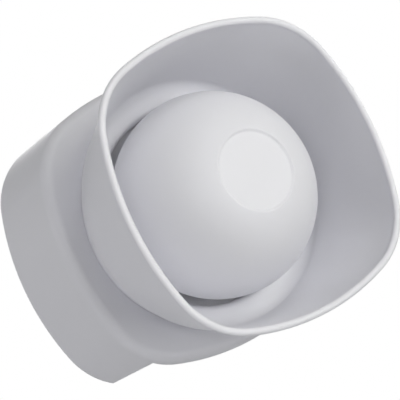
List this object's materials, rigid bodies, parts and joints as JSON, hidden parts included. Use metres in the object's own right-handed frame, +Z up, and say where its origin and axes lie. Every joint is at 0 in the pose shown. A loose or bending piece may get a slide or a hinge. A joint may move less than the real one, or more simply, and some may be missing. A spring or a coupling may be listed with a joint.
{
  "type": "alarm sounder",
  "caption": "Wall-mounted electronic alarm sounder: a flared square horn with a domed centre, twisted into a deep bowed base.",
  "frame": {"origin": "centre of the base's back face, on the wall plane", "axes": "+Z up, +Y into the wall, the horn's mouth faces -Y"},
  "size_m": [0.105, 0.095, 0.1044],
  "materials": {
    "base_plastic": "satin",
    "horn_plastic": "satin",
    "inner_plastic": "satin",
    "component_plastic": "gloss",
    "board_laminate": "satin",
    "seal_rubber": "matte",
    "contact_brass": "polished",
    "ceramic": "matte",
    "screw_steel": "satin"
  },
  "bodies": {
    "root": {"base_housing": "base_plastic", "board_screw_1": "screw_steel", "board_screw_2": "screw_steel", "board_screw_3": "screw_steel", "cable_grommet": "seal_rubber", "capacitor_1": "component_plastic", "capacitor_2": "component_plastic", "ceramic_wafer": "ceramic", "circuit_board": "board_laminate", "contact_blade_1": "contact_brass", "contact_blade_2": "contact_brass", "contact_blade_3": "contact_brass", "contact_blade_4": "contact_brass", "contact_plate_1": "contact_brass", "contact_plate_2": "contact_brass", "contact_plate_3": "contact_brass", "contact_plate_4": "contact_brass", "control_chip": "component_plastic", "cover_screw_1": "screw_steel", "cover_screw_2": "screw_steel", "cover_screw_3": "screw_steel", "cup_screw_1": "screw_steel", "cup_screw_2": "screw_steel", "cup_screw_3": "screw_steel", "dome_cap": "horn_plastic", "dome_floor": "horn_plastic", "dome_screw_1": "screw_steel", "dome_screw_2": "screw_steel", "dome_screw_3": "screw_steel", "driver_cup": "inner_plastic", "front_seat": "seal_rubber", "head_cover": "inner_plastic", "horn_moulding": "horn_plastic", "link_header": "component_plastic", "link_shunt_1": "component_plastic", "link_shunt_2": "component_plastic", "neck_seal": "seal_rubber", "output_coil": "component_plastic", "rear_seat": "seal_rubber", "sound_disk": "contact_brass", "terminal_block": "inner_plastic", "terminal_screw_1": "screw_steel", "terminal_screw_2": "screw_steel", "terminal_screw_3": "screw_steel", "terminal_screw_4": "screw_steel"}
  },
  "joints": []
}
